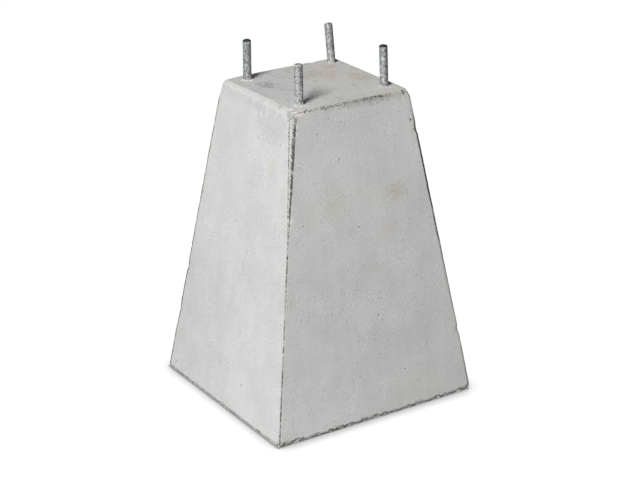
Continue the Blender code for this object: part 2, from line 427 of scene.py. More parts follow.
def collar_height(points, feet, top_height):
    """Height of the cement paste that rings each rod, with an uneven outline."""
    height = np.zeros(len(points))
    ragged = rough(points, 0.0035, 401)
    for foot, tallest in zip(feet, COLLAR_HEIGHTS.values()):
        gap = np.hypot(points[:, 0] - foot[0], points[:, 1] - foot[1]) - COLLAR_STRAY * ragged
        height = np.maximum(height, tallest * (1 - smoothstep(COLLAR_INNER, COLLAR_OUTER, gap)))
    on_top = np.abs(points[:, 2] - top_height) < ON_PLANE
    return np.where(on_top, height * (1 + 0.55 * ragged), 0)


def edge_depths(points, distances):
    """How deep each edge is cut back square to the edge, one column for each edge."""
    columns = []
    for number, edge in enumerate(EDGES.values()):
        lumps = 0.5 + 0.5 * rough(points, edge["size"], 31 + 7 * number)
        broken = smoothstep(1 - edge["common"], 1.25, lumps)
        loss = edge["loss"] * (1 + 0.35 * noise(points, 0.003, 77))
        columns.append(loss + edge["breaks"] * broken)
    depths = np.stack(columns, axis=1)
    below_top = -distances[:, WALL_ORDER["top"]]
    spall = SPALL_DEPTH * np.clip(1 - below_top / SPALL_LENGTH, 0, 1) ** SPALL_FLARE
    spall = spall * smoothstep(-0.002, SPALL_START, below_top)
    spall = spall + SPALL_ROUGHNESS * rough(points, 0.004, 5)
    spall = np.where(below_top < SPALL_LENGTH, spall, 0)
    arris = list(EDGES).index(FRONT_ARRIS)
    depths[:, arris] = np.maximum(depths[:, arris], spall)
    return depths


def corner_break(planes):
    """The plane of the corner that has gone, as a normal and an offset."""
    top = meeting_point(planes, ("right", "back_right", "top"))
    foot = meeting_point(planes, ("right", "back_right", "foot"))
    along_x, along_y, down = LOST_CORNER
    first = top - np.array([along_x, 0, 0])
    second = top - np.array([0, along_y, 0])
    third = top + (foot - top) / np.linalg.norm(foot - top) * down
    normal = np.cross(second - first, third - first)
    normal = normal / np.linalg.norm(normal) * np.sign(normal[2])
    return normal, normal @ first


def edge_cut(distances, pair, depth):
    """Above zero outside the strip that an edge is cut back to."""
    first, second = (distances[:, WALL_ORDER[name]] for name in pair)
    slant = EDGES[pair]["slant"]
    return (first + slant * second) / math.hypot(1, slant) + depth


def how_far_outside(distances, depths, radius, corner_gap):
    """Above zero outside the worn block. The walls meet in a round of the given radius, and each
    edge is cut back to its depth."""
    push = np.maximum(distances + radius[:, None], 0)
    outside = np.minimum(distances.max(axis=1), -radius) + np.linalg.norm(push, axis=1)
    for column, pair in enumerate(EDGES):
        outside = np.maximum(outside, edge_cut(distances, pair, depths[:, column]))
    return np.maximum(outside, corner_gap)


def weather(points, planes, pits, bites, feet):
    """Move the sharp block's points in to the worn surface, and say what shows at each of them."""
    top_height = planes["top"][1]
    normals = np.stack([planes[name][0] for name in WALLS])
    distances = wall_distances(points, planes)
    rays = np.maximum(distances + RAY_REACH, 0) @ normals
    rays = rays / np.linalg.norm(rays, axis=1, keepdims=True)
    left_gap, top_gap = -distances[:, WALL_ORDER["left"]], -distances[:, WALL_ORDER["top"]]
    trowelled = np.exp(-(left_gap**2 + top_gap**2) / TROWELLED_REACH**2)
    radius = EDGE_SOFTNESS + TROWELLED_ROUND * trowelled * (1 + 0.3 * noise(points, 0.03, 9))
    depths = edge_depths(points, distances)
    collars = collar_height(points, feet, top_height)
    holes = pit_depth(points, pits)
    waves = WAVE_DEPTH * (1 + rough(points, 0.09, 51)) + GRAIN_DEPTH * rough(points, 0.006, 61)
    bitten = bite_depth(points, bites)
    inset = waves + bitten + holes - collars
    inset = np.where(points[:, 2] < ON_PLANE, 0.0, inset)
    break_normal, break_offset = corner_break(planes)
    break_rough = LOST_CORNER_ROUGHNESS * rough(points, 0.005, 71)
    nearest, farthest = np.full(len(points), -RAY_REACH), np.full(len(points), FARTHEST_OUT)
    for _ in range(SOLVE_STEPS):
        middle = (nearest + farthest) / 2
        tried = points + rays * middle[:, None]
        gaps = wall_distances(tried, planes) + inset[:, None]
        corner_gap = tried @ break_normal - break_offset + break_rough
        outside = how_far_outside(gaps, depths, radius, corner_gap)
        farthest = np.where(outside > 0, middle, farthest)
        nearest = np.where(outside > 0, nearest, middle)
    moved = points + rays * nearest[:, None]
    gaps = wall_distances(moved, planes) + inset[:, None]
    looks = edge_marks(moved, gaps, depths)
    lost = moved @ break_normal - break_offset + break_rough
    looks.update(paste=np.clip(collars / FULL_PASTE_HEIGHT, 0, 1),
                 hole=np.clip(holes / FULL_HOLE_DEPTH, 0, 1),
                 lost=np.maximum(smoothstep(-0.0012, 0, lost), smoothstep(0.0003, 0.0014, bitten)),
                 edge_gap=-np.sort(distances, axis=1)[:, -2])
    return moved, looks


def edge_marks(points, gaps, depths):
    """How far each point is from the rim of the nearest break, in line widths and below zero on the
    break itself, how dark and how crumbly the painted shade line along that rim is, and how fresh
    the break looks."""
    rim = np.full(len(points), NO_RIM_NEAR)
    dark, crumbly, fresh = (np.zeros(len(points)) for _ in range(3))
    ragged = 0.8 + 0.35 * rough(points, 0.012, 91)
    for change in RIM_CHANGES:
        gap = np.linalg.norm(points - change["at"], axis=1) / change["reach"]
        ragged = ragged * (1 + (change["factor"] - 1) * np.exp(-gap * gap))
    for column, (pair, edge) in enumerate(EDGES.items()):
        first, second = (gaps[:, WALL_ORDER[name]] for name in pair)
        on_first = first / edge["line"]
        on_second = second / (edge["line"] + edge["band"] * depths[:, column])
        past = (np.maximum(first, second) - edge_cut(gaps, pair, depths[:, column])) / edge["line"]
        past = np.where(past < 0, np.maximum(on_first, on_second), past)
        strength = edge["dark"] * ragged * np.where(on_first > on_second, edge["first_rim"], 1)
        closer = past < rim
        dark = np.where(closer, strength, dark)
        crumbly = np.where(closer, edge["crumbly"], crumbly)
        deep = smoothstep(0.0004, 0.0020, depths[:, column])
        fresh = np.where(closer, edge["fresh"] * deep, fresh)
        rim = np.minimum(rim, past)
    return dict(rim=rim, dark=np.clip(dark, 0, DARKEST_RIM), crumbly=crumbly, fresh=fresh)


def placed(name, data):
    """A new object in the scene."""
    thing = bpy.data.objects.new(name, data)
    bpy.context.scene.collection.objects.link(thing)
    return thing


def cast_block():
    """The concrete casting, with its worn edges, blow holes, lost corner and paste collars."""
    planes = wall_planes()
    rng = np.random.default_rng(RANDOM_SEED)
    pits = [dict(pit, at=np.array(pit["at"])) for pit in PITS] + random_pits(planes, rng)
    bites = [dict(bite, at=np.array(bite["at"])) for bite in BITES] + random_bites(planes, rng)
    feet = [rod_foot(rod_axis(name), planes["top"][1]) for name in ROD_NAMES]
    bm = sharp_block(planes, pits, feet)
    mesh = bpy.data.meshes.new("cast_block")
    bm.to_mesh(mesh)
    bm.free()
    points = np.zeros(len(mesh.vertices) * 3)
    mesh.vertices.foreach_get("co", points)
    moved, looks = weather(points.reshape(-1, 3), planes, pits, bites, feet)
    mesh.vertices.foreach_set("co", moved.ravel())
    for name, values in looks.items():
        stored = mesh.attributes.new(name, "FLOAT", "POINT")
        stored.data.foreach_set("value", values.astype(np.float32))
    mesh.shade_smooth()
    mesh.set_sharp_from_angle(angle=SHARP_ANGLE)
    mesh.update()
    return placed("cast_block", mesh)


class Field:
    """A socket in a node tree. Sums written on it add Math nodes to the tree."""

    def __init__(self, nodes, socket):
        self.nodes = nodes
        self.socket = socket

    def maths(self, operation, *others):
        return self.nodes.maths(operation, self, *others)

    def __add__(self, other):
        return self.maths("ADD", other)

    __radd__ = __add__

    def __sub__(self, other):
        return self.maths("SUBTRACT", other)

    def __rsub__(self, other):
        return self.nodes.maths("SUBTRACT", other, self)

    def __mul__(self, other):
        return self.maths("MULTIPLY", other)

    __rmul__ = __mul__

    def __truediv__(self, other):
        return self.maths("DIVIDE", other)

    def __rtruediv__(self, other):
        return self.nodes.maths("DIVIDE", other, self)

    def least(self, other):
        return self.maths("MINIMUM", other)

    def most(self, other):
        return self.maths("MAXIMUM", other)

    def ramp(self, low, high, to_low=0.0, to_high=1.0):
        """The value taken smoothly from one range to another, and held at its ends."""
        return self.nodes.add("ShaderNodeMapRange", {"interpolation_type": "SMOOTHSTEP"}, {
            "Value": self, "From Min": low, "From Max": high, "To Min": to_low, "To Max": to_high})


class Nodes:
    """A node tree that nodes are added to."""

    def __init__(self, tree):
        self.tree = tree

    def add(self, kind, settings=None, sockets=None, output=0):
        """Add a node: its settings first, then the value or link of each socket."""
        node = self.tree.nodes.new(kind)
        for name, value in (settings or {}).items():
            setattr(node, name, value)
        for key, value in (sockets or {}).items():
            if isinstance(value, Field):
                self.tree.links.new(value.socket, node.inputs[key])
            else:
                node.inputs[key].default_value = value
        if node.outputs:
            return Field(self, node.outputs[output])

    def maths(self, operation, *values):
        return self.add("ShaderNodeMath", {"operation": operation}, dict(enumerate(values)))

    def vector(self, operation, *values, output=0):
        return self.add("ShaderNodeVectorMath", {"operation": operation},
                        dict(enumerate(values)), output)

    def scaled(self, vector, factor):
        """A vector made longer by a factor, or a colour made lighter."""
        return self.add("ShaderNodeVectorMath", {"operation": "SCALE"}, {0: vector, 3: factor})

    def joined(self, x, y, z):
        return self.add("ShaderNodeCombineXYZ", None, {"X": x, "Y": y, "Z": z})

    def parts(self, vector):
        """The three numbers of a vector."""
        split = self.add("ShaderNodeSeparateXYZ", None, {"Vector": vector})
        return [Field(self, socket) for socket in split.socket.node.outputs]


class Finish(Nodes):
    """The node tree of one surface finish, with the patterns that these finishes share."""

    def __init__(self, name):
        self.material = bpy.data.materials.new(name)
        self.material.use_nodes = True
        super().__init__(self.material.node_tree)
        self.tree.nodes.clear()
        self.place = self.add("ShaderNodeTexCoord", output=3)

    def mark(self, name):
        """A number stored on the piece, such as how broken its surface is."""
        return self.add("ShaderNodeAttribute", {"attribute_name": name}, output=2)

    def stretched(self, scale):
        return self.vector("MULTIPLY", self.place, scale)

    def lumps(self, per_metre, detail=3.0, place=None):
        """Noise around one half, with so many lumps to the metre."""
        return self.add("ShaderNodeTexNoise", {"noise_dimensions": "3D"},
                        {"Vector": place or self.place, "Scale": per_metre, "Detail": detail})

    def grains(self, per_metre, output=0):
        """Distance from the middle of the nearest grain, in grain widths, or its own colour."""
        return self.add("ShaderNodeTexVoronoi", {"feature": "F1"},
                        {"Vector": self.place, "Scale": per_metre}, output=output)

    def kinds(self, per_metre):
        """A random number from 0 to 1 for each of these grains."""
        return self.add("ShaderNodeSeparateColor", None, {"Color": self.grains(per_metre, 1)})

    def top_side(self):
        """One on the top of the block and zero on its walls."""
        return self.parts(self.place)[2].ramp(*TOP_BEGINS)

    def blot(self, at, reach, ragged, grain):
        """One inside a blot, fading to zero at its ragged outline."""
        shares = self.vector("DIVIDE", self.vector("SUBTRACT", self.place, at), reach)
        gap = self.vector("LENGTH", shares, output=1)
        gap = gap + (self.lumps(grain, 4.0) - 0.5) * (2 * ragged)
        return gap.ramp(1.0, 0.25)

    def line_mask(self, start, end, width):
        """One along a straight line, such as a fine cracked line or a painted shade strip, fading
        to zero at half its width.
        """
        run = Vector(end) - Vector(start)
        offset = self.vector("SUBTRACT", self.place, start)
        along = self.vector("DOT_PRODUCT", offset, run.normalized(), output=1)
        nearest = self.scaled(run.normalized(), along.most(0.0).least(run.length))
        gap = self.vector("DISTANCE", offset, nearest, output=1)
        return (gap / width + self.lumps(400.0) - 0.5).ramp(0.5, 0.1)

    def blend(self, amount, first, second):
        """A colour mixed with another by an amount from zero to one."""
        return self.add("ShaderNodeMix", {"data_type": "RGBA"},
                        {0: amount, 6: first, 7: second}, output=2)

    def finish(self, colour, roughness, height, metallic=0.0, bump_distance=0.0003, specular=0.3):
        normal = self.add("ShaderNodeBump", None,
                          {"Strength": 1.0, "Distance": bump_distance, "Height": height})
        shader = self.add("ShaderNodeBsdfPrincipled", None, {
            "Base Color": colour, "Roughness": roughness, "Metallic": metallic, "Normal": normal,
            "Specular IOR Level": specular})
        self.add("ShaderNodeOutputMaterial", None, {"Surface": shader})
        return self.material


FACE_GREY = (0.492, 0.492, 0.492, 1)
FACE_GREY_LIGHT = (0.518, 0.518, 0.518, 1)
CEMENT_WARM = (0.497, 0.490, 0.452, 1)
PINK_STAIN = (0.535, 0.450, 0.375, 1)
BROWN_STAIN = (0.400, 0.375, 0.305, 1)
YELLOW_STAIN = (0.490, 0.484, 0.400, 1)
ORANGE_SPECKS = (0.470, 0.370, 0.280, 1)
RUST_RED = (0.60, 0.20, 0.09, 1)
BLUE_STAIN = (0.40, 0.47, 0.53, 1)
MOSS_YELLOW = (0.51, 0.50, 0.30, 1)
SHADE_AND_CRACK_GREY = (0.060, 0.058, 0.053, 1)
DARKER_GREY = (0.440, 0.440, 0.438, 1)
BLUE_GREY = (0.462, 0.474, 0.490, 1)
GRIME = (0.270, 0.265, 0.240, 1)
BREAK_GREY = (0.320, 0.316, 0.298)
PASTE_WHITE = (0.59, 0.59, 0.565, 1)
PASTE_GREY = (0.52, 0.51, 0.48, 1)
ZINC_GREY = (0.60, 0.60, 0.61, 1)
ZINC_GREEN = (0.55, 0.60, 0.59, 1)
THREAD_GRIME = (0.09, 0.095, 0.095, 1)
TIP_BLACK = (0.022, 0.023, 0.025, 1)

# The heights between which the walls' looks give way to the top's, and the rough patch on the top
TOP_BEGINS = (0.4755, 0.4785)
ROUGH_PATCH = ((-0.038, -0.060, 0.48), (0.026, 0.026, 0.01))
BLOT_RAGGEDNESS = 0.9
BLOT_GRAIN = 150.0
# The stains that the photograph shows, and darker patches, one of them painted shade along the
# rounded left top edge: where each is, how far it reaches, its colour and strength
STAINS_AND_SHADES = (
    ((0.1196, 0.0640, 0.3360), (0.0200, 0.0240, 0.0200), BROWN_STAIN, 1.00),
    ((0.1180, 0.0400, 0.3360), (0.0200, 0.0600, 0.0260), YELLOW_STAIN, 0.42),
    ((0.1180, -0.0400, 0.3480), (0.0200, 0.0560, 0.0260), YELLOW_STAIN, 0.55),
    ((0.1220, -0.0500, 0.3250), (0.0200, 0.0440, 0.0240), YELLOW_STAIN, 0.50),
    ((0.1210, -0.0870, 0.3250), (0.0150, 0.0110, 0.0330), YELLOW_STAIN, 0.50),
    ((0.1275, 0.0426, 0.2860), (0.0150, 0.0110, 0.0170), PINK_STAIN, 0.32),
    ((0.1286, 0.0437, 0.2770), (0.0150, 0.0270, 0.0120), YELLOW_STAIN, 0.55),
    ((0.1349, 0.0199, 0.2300), (0.0150, 0.0170, 0.0080), YELLOW_STAIN, 0.50),
    ((0.1120, -0.0500, 0.3860), (0.0150, 0.0120, 0.0100), PINK_STAIN, 0.22),
    ((0.1600, 0.0800, 0.0300), (0.0300, 0.0850, 0.0450), CEMENT_WARM, 0.80),
    ((0.0600, -0.1135, 0.3900), (0.0140, 0.0120, 0.0170), YELLOW_STAIN, 0.60),
    ((0.0640, -0.1120, 0.3980), (0.0080, 0.0120, 0.0100), PINK_STAIN, 0.45),
    ((-0.1200, -0.1600, 0.1400), (0.0900, 0.0600, 0.2600), DARKER_GREY, 0.55),
    ((0.1010, 0.0250, 0.4765), (0.0080, 0.0950, 0.0100), GRIME, 0.75),
    ((0.1004, 0.0480, 0.4765), (0.0080, 0.0300, 0.0080), GRIME, 0.80),
    # Painted shade along the rounded left top edge, darker over the highlight that it catches
    ((0.0000, -0.1010, 0.4790), (0.1800, 0.0160, 0.0240), DARKER_GREY, 1.60),
    # Dirt, with painted shade over the same edge's highlight
    ((0.0550, -0.1000, 0.4790), (0.0700, 0.0085, 0.0075), GRIME, 0.40),
    ((0.0600, -0.1040, 0.4500), (0.0700, 0.0160, 0.0420), DARKER_GREY, 1.30),
    ((0.0960, -0.0900, 0.4780), (0.0110, 0.0120, 0.0080), PINK_STAIN, 0.35),
    ((0.0900, -0.1000, 0.4770), (0.0130, 0.0080, 0.0080), GRIME, 1.10),
    ((0.0960, -0.0980, 0.4770), (0.0170, 0.0130, 0.0120), GRIME, 1.30),
    ((0.0616, -0.1000, 0.4775), (0.0040, 0.0050, 0.0030), GRIME, 1.50),
    ((0.0891, -0.1015, 0.4702), (0.0040, 0.0040, 0.0090), GRIME, 0.90),
    ((0.0951, -0.1039, 0.4546), (0.0030, 0.0040, 0.0110), GRIME, 0.90),
    ((0.1011, -0.1081, 0.4273), (0.0025, 0.0040, 0.0130), GRIME, 0.60),
    ((-0.0500, -0.1000, 0.4800), (0.0900, 0.0080, 0.0070), GRIME, 0.30),
    ((-0.0300, -0.0550, 0.4800), (0.0900, 0.0550, 0.0100), BLUE_GREY, 0.60),
    ((0.0000, 0.0650, 0.4800), (0.1200, 0.0550, 0.0100), CEMENT_WARM, 0.75),
    ((-0.0640, 0.0680, 0.4800), (0.0150, 0.0170, 0.0100), ORANGE_SPECKS, 1.00),
    ((-0.0350, 0.0400, 0.4800), (0.0340, 0.0280, 0.0100), ORANGE_SPECKS, 0.75),
    ((-0.0450, 0.0150, 0.4800), (0.0240, 0.0200, 0.0100), ORANGE_SPECKS, 0.50),
    ((0.0050, 0.0760, 0.4800), (0.0340, 0.0150, 0.0100), ORANGE_SPECKS, 1.00),
    ((0.0974, -0.0871, 0.4796), (0.0028, 0.0028, 0.0028), RUST_RED, 1.30),
    ((0.1000, -0.0945, 0.4790), (0.0028, 0.0028, 0.0028), RUST_RED, 0.80),
    ((0.0721, -0.0824, 0.4800), (0.0110, 0.0080, 0.0060), BLUE_STAIN, 1.30),
    ((0.0809, -0.0737, 0.4800), (0.0040, 0.0040, 0.0040), MOSS_YELLOW, 0.70),
    ((0.0960, 0.0640, 0.4800), (0.0080, 0.0250, 0.0080), MOSS_YELLOW, 0.65),
)


def tint_casting(finish, colour):
    """The tints of the top and the edges, the stains, darker patches with some painted shade, and
    the fine cracked lines.
    """
    speckle = finish.lumps(430.0).ramp(0.40, 0.60, 0.15, 1.0)
    edge = finish.mark("edge_gap").ramp(0.022, 0.002)
    colour = finish.blend(edge * finish.lumps(22.0).ramp(0.38, 0.65) * 0.65, colour, CEMENT_WARM)
    colour = finish.blend(finish.top_side() * 0.30, colour, CEMENT_WARM)
    for at, reach, tint, strength in STAINS_AND_SHADES:
        blot = finish.blot(at, reach, BLOT_RAGGEDNESS, BLOT_GRAIN)
        colour = finish.blend(blot * speckle * strength, colour, tint)
    for start, end, width in CRACKS:
        colour = finish.blend(finish.line_mask(start, end, width) * 0.8, colour, SHADE_AND_CRACK_GREY)
    return colour


def sandy_tone(finish):
    """How light the concrete is from place to place: clouds, run marks, and sand that shows through
    the paste in patches, and the top a little lighter as painted light."""
    top = finish.top_side()
    clouds = (finish.lumps(7.0, 2.0) - 0.5) * 0.14 + (finish.lumps(34.0, 4.0) - 0.5) * 0.14
    streaks = (finish.lumps(1.0, 3.0, finish.stretched((85.0, 85.0, 9.0))) - 0.5) * 0.12
    patches = finish.lumps(30.0).ramp(0.42, 0.62, 0.25, 1.0).most(top)
    sand = (finish.lumps(420.0, 2.0) - 0.5) * 0.56 + (finish.lumps(1100.0, 1.0) - 0.5) * 0.4
    light_grains = finish.grains(330.0).ramp(0.34, 0.12) * 0.11
    dark_grains = finish.grains(260.0).ramp(0.34, 0.14)
    dark_grains = dark_grains * finish.kinds(260.0).ramp(0.86, 0.93) * 0.34
    smears = finish.lumps(60.0, 5.0, finish.stretched((0.55, 1.6, 1.0))).ramp(0.56, 0.72)
    smears = smears * top * 0.16
    rough_patch = finish.blot(*ROUGH_PATCH, 0.8, 90.0)
    smears = smears + rough_patch * finish.lumps(230.0).ramp(0.45, 0.60) * 0.42
    grain = (sand + light_grains - dark_grains) * patches
    # The top a little lighter: painted light
    return 1.0 + clouds + streaks + top * 0.03 + grain - smears, sand, dark_grains


def concrete_finish():
    """Fair-faced concrete: grey, sandy and faintly streaked, dark in its fine cracked lines, with
    painted shade along its broken rims and in its holes.
    """
    finish = Finish("fair_faced_concrete")
    tone, sand, dark_grains = sandy_tone(finish)
    grey = finish.blend(finish.lumps(16.0).ramp(0.35, 0.65), FACE_GREY, FACE_GREY_LIGHT)
    colour = finish.scaled(tint_casting(finish, grey), tone)
    paste = finish.mark("paste") * finish.lumps(170.0).ramp(0.42, 0.62, 0.05, 0.7)
    colour = finish.blend(paste, colour, PASTE_WHITE)
    crumbs = finish.lumps(330.0, 4.0).ramp(0.32, 0.68)
    rim = finish.mark("rim")
    broken = rim.ramp(0.2, -0.4) * (finish.mark("fresh") * 0.8 + 0.1)
    broken = broken.most(finish.mark("lost") * 0.5)
    # Broken surfaces in a darker grey, with dark specks that are partly painted shade in their
    # crevices
    colour = finish.blend(broken, colour, finish.scaled(BREAK_GREY, 0.40 + crumbs * 0.95))
    # Painted shade: dark lines along the broken rims and along the foot
    line = rim.maths("ABSOLUTE").ramp(1.0, 0.1) * finish.mark("dark")
    rim_shade_lines = (line * (1.0 + (0.5 - crumbs) * finish.mark("crumbly") * 1.8)).most(0.0).least(1.0)
    # Painted shade in the blow holes, mixed with the painted shade lines at the rims
    colour = finish.blend(rim_shade_lines.most(finish.mark("hole") * 0.8), colour, SHADE_AND_CRACK_GREY)
    height = finish.lumps(600.0) * 0.8 + sand * 0.6 - dark_grains * 2.0
    return finish.finish(colour, 0.86 + sand * 0.12, height, bump_distance=0.0004)


def zinc_finish():
    """Hot-dip zinc gone dull and spangled, with cement dried in the thread."""
    finish = Finish("dull_zinc")
    spangle = finish.kinds(460.0)
    fine = finish.lumps(1500.0)
    green = finish.lumps(60.0, 2.0).ramp(0.40, 0.62)
    zinc = finish.blend(green, ZINC_GREY, ZINC_GREEN)
    zinc = finish.scaled(zinc, (0.08 + spangle * 0.80 + fine * 0.70) * (1.0 - finish.mark("dull")))
    groove = finish.mark("groove")
    cement = finish.lumps(420.0, 4.0) + groove * 0.14 + finish.mark("splashed") * 0.20
    cement = cement.ramp(0.68, 0.80)
    grime = (finish.lumps(520.0).ramp(0.50, 0.64) * 0.70 + groove * 0.6).least(0.9)
    colour = finish.blend(grime, zinc, THREAD_GRIME)
    colour = finish.blend(cement * 0.8, colour, PASTE_WHITE)
    colour = finish.blend(finish.mark("tip") * 0.95, colour, TIP_BLACK)
    metallic = 0.55 - cement * 0.55
    roughness = 0.45 + fine * 0.25 + cement * 0.25
    return finish.finish(colour, roughness, fine + cement * 0.8, metallic, bump_distance=0.00015,
                         specular=0.4)


def splash_finish():
    """Dried cement paste on the rods."""
    finish = Finish("cement_splash")
    fine = finish.lumps(900.0)
    colour = finish.blend(finish.lumps(300.0).ramp(0.35, 0.65), PASTE_WHITE, PASTE_GREY)
    return finish.finish(finish.scaled(colour, 0.8 + fine * 0.4), 0.8 + fine * 0.15, fine)


def input_sockets(tree, numbers, counts):
    """Give a geometry tree its inputs. Return its nodes, and the fields and the identifiers of the
    inputs by name."""
    kinds = dict.fromkeys(numbers, "NodeSocketFloat") | dict.fromkeys(counts, "NodeSocketInt")
    identifiers = {}
    tree.interface.new_socket("Geometry", in_out="INPUT", socket_type="NodeSocketGeometry")
    for name, kind in kinds.items():
        item = tree.interface.new_socket(name, in_out="INPUT", socket_type=kind)
        identifiers[name] = item.identifier
    tree.interface.new_socket("Geometry", in_out="OUTPUT", socket_type="NodeSocketGeometry")
    start = tree.nodes.new("NodeGroupInput")
    nodes = Nodes(tree)
    fields = {name: Field(nodes, start.outputs[name]) for name in ("Geometry", *kinds)}
    return nodes, fields, identifiers


def close_tree(nodes, geometry, material):
    """Smooth the result of a geometry tree, and end it in Realize Instances and Set Material."""
    smooth = nodes.add("GeometryNodeSetShadeSmooth", None, {"Geometry": geometry})
    whole = nodes.add("GeometryNodeRealizeInstances", None, {"Geometry": smooth})
    painted = nodes.add("GeometryNodeSetMaterial", None, {"Geometry": whole, "Material": material})
    nodes.add("NodeGroupOutput", None, {"Geometry": painted})


def thread_tree(material):
    """A rod along Z from its lower end: a grid rolled up into a tube, with a helical groove."""
    tree = bpy.data.node_groups.new("threaded_rod", "GeometryNodeTree")
    nodes, size, identifiers = input_sockets(tree, (
        "Radius", "Pitch", "Thread Depth", "Length", "Thread Start", "Tip Chamfer", "Dome", "Dull",
        "Dark Rim", "Clogging", "Seed"), ("Around", "Rows"))
    grid = nodes.add("GeometryNodeMeshGrid", None, {
        "Size X": 1.0, "Size Y": 1.0, "Vertices X": size["Around"], "Vertices Y": size["Rows"]})
    across, up, _ = nodes.parts(nodes.add("GeometryNodeInputPosition"))
    turn, climb = across + 0.5, up + 0.5
    foot_share = FOOT_ROWS / size["Rows"]
    tip_run = size["Length"] + size["Radius"] - size["Tip Chamfer"] - size["Thread Start"]
    foot_run = size["Thread Start"] + size["Radius"]
    along = size["Thread Start"] + (climb - foot_share).most(0.0) * tip_run / (1.0 - foot_share)
    along = along + (climb - foot_share).least(0.0) * foot_run / foot_share
    height = along.most(0.0).least(size["Length"])
    angle = turn * (2 * math.pi)

    def rolled(radius, height):
        return nodes.joined(angle.maths("COSINE") * radius, angle.maths("SINE") * radius, height)

    side = rolled(size["Radius"], height)

    def lumps_on_side(per_metre, detail):
        return nodes.add("ShaderNodeTexNoise", {"noise_dimensions": "4D"}, {
            "Vector": side, "W": size["Seed"], "Scale": per_metre, "Detail": detail})

    lumps, fine = lumps_on_side(230.0, 3.0), lumps_on_side(900.0, 2.0)
    phase = (height / size["Pitch"] - turn).maths("FRACT")
    crest = (phase * 2.0 - 1.0).maths("ABSOLUTE").ramp(0.12, 0.82)
    clogged = (size["Clogging"] + (lumps - 0.5) * 2.6).most(0.0).least(0.92)
    exposed = (along - size["Thread Start"]).ramp(0.0, 0.0005)
    groove = (1.0 - crest) * (1.0 - clogged) * exposed
    radius = size["Radius"] - size["Thread Depth"] * groove - (0.5 - fine) * 0.0005 * exposed
    tip_limit = size["Length"] + size["Radius"] - size["Tip Chamfer"] - along
    radius = radius.least(tip_limit.most(0.0)).least((along + size["Radius"]).most(0.0))
    over = ((along - size["Length"]) / (size["Radius"] - size["Tip Chamfer"])).most(0.0).least(1.0)
    height = height + size["Dome"] * over * (2.0 - over)
    rim = (along - size["Length"] + size["Tip Chamfer"] * 1.5).ramp(0.0, 0.0008)
    smudge = (lumps * 3.0 + size["Dark Rim"] * 2.0 - 2.4).most(0.0).least(1.0)
    marks = {"groove": groove, "splashed": clogged * exposed, "tip": rim * smudge,
             "dull": size["Dull"] * (lumps + 0.6)}
    for name, value in marks.items():
        grid = nodes.add("GeometryNodeStoreNamedAttribute",
                         {"data_type": "FLOAT", "domain": "POINT"},
                         {"Geometry": grid, "Name": name, "Value": value})
    tube = nodes.add("GeometryNodeSetPosition", None,
                     {"Geometry": grid, "Position": rolled(radius, height)})
    tube = nodes.add("GeometryNodeMergeByDistance", None, {"Geometry": tube, "Distance": SEAM_GAP})
    close_tree(nodes, tube, material)
    return tree, identifiers


def splash_tree(material):
    """Blobs of cement scattered over a rod, thickest near the block."""
    tree = bpy.data.node_groups.new("cement_splashes", "GeometryNodeTree")
    nodes, size, identifiers = input_sockets(tree, ("Blob Radius", "Low", "High"),
                                             ("Count", "Seed"))
    height = nodes.parts(nodes.add("GeometryNodeInputPosition"))[2]
    share = (height - size["Low"]) / (size["High"] - size["Low"])
    density = (1.25 - share).most(0.0) * (share + 0.02).ramp(0.0, 0.02)
    density = density * (1.02 - share).ramp(0.0, 0.02)
    scatter = nodes.add("GeometryNodeDistributePointsOnFaces", {"distribute_method": "RANDOM"}, {
        "Mesh": size["Geometry"], "Density": density * size["Count"] * SPLASHES_PER_AREA,
        "Seed": size["Seed"]})
    turned = Field(nodes, scatter.socket.node.outputs["Rotation"])
    blob = nodes.add("GeometryNodeMeshIcoSphere", None,
                     {"Radius": size["Blob Radius"], "Subdivisions": 2})
    scales = nodes.add("FunctionNodeRandomValue", {"data_type": "FLOAT"},
                       SPLASH_SCALES | {"Seed": size["Seed"]}, output=1)
    shape = nodes.joined(scales, scales * SPLASH_LENGTH, scales * SPLASH_HEIGHT)
    blobs = nodes.add("GeometryNodeInstanceOnPoints", None, {
        "Points": scatter, "Instance": blob, "Rotation": turned, "Scale": shape})
    close_tree(nodes, blobs, material)
    return tree, identifiers


def grown(name, mesh, tree, identifiers, values):
    """Run a geometry tree on a mesh and keep the result as a plain mesh."""
    guide = placed(name, mesh)
    modifier = guide.modifiers.new(name, "NODES")
    modifier.node_group = tree
    for label, value in values.items():
        modifier[identifiers[label]] = value
    grown_guide = guide.evaluated_get(bpy.context.evaluated_depsgraph_get())
    result = bpy.data.meshes.new_from_object(grown_guide)
    guide.modifiers.remove(modifier)
    bpy.data.objects.remove(guide, do_unlink=True)
    result.name = name
    material = result.materials[-1]
    result.materials.clear()
    result.materials.append(material)
    result.polygons.foreach_set("material_index", [0] * len(result.polygons))
    return placed(name, result)


